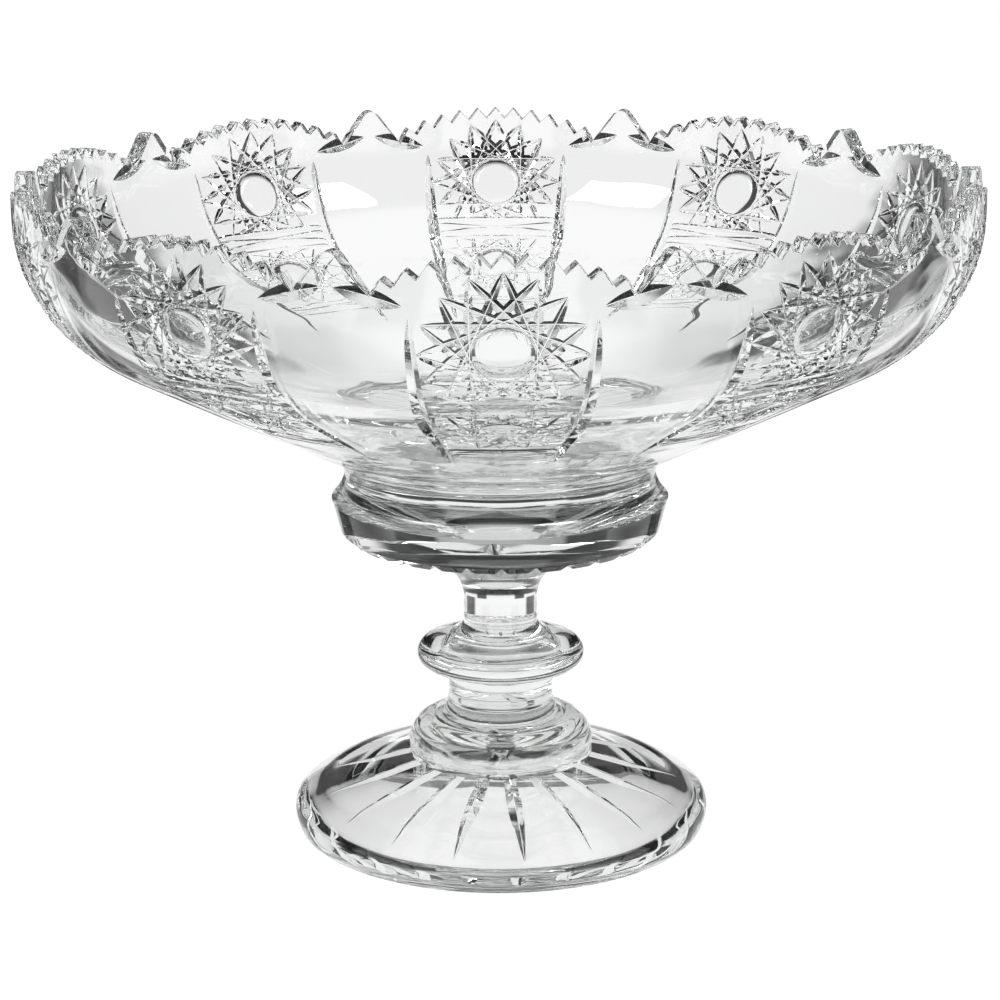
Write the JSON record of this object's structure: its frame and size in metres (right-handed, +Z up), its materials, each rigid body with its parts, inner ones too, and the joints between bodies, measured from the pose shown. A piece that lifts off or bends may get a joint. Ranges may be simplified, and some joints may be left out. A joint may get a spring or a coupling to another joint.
{
  "type": "footed punch bowl",
  "caption": "Wide shallow cut-glass bowl with a scalloped saw-tooth rim, bonded to a short knopped stem and a round foot.",
  "frame": {"origin": "centre of the ring the foot rests on, on the bowl's axis, at table level", "axes": "+Z up along the axis of the bowl; -Y is the front, through the middle of one rim scallop; +X is to the right of it"},
  "size_m": [0.35, 0.35, 0.25],
  "materials": {
    "crystal": "colourless lead crystal, polished, with mitre, olive and star cutting polished bright",
    "clear_adhesive": "clear cured adhesive film"
  },
  "bodies": {
    "root": {"bowl": "crystal", "bowl_bond": "clear_adhesive", "stem": "crystal", "foot_bond": "clear_adhesive", "foot": "crystal"}
  },
  "joints": []
}
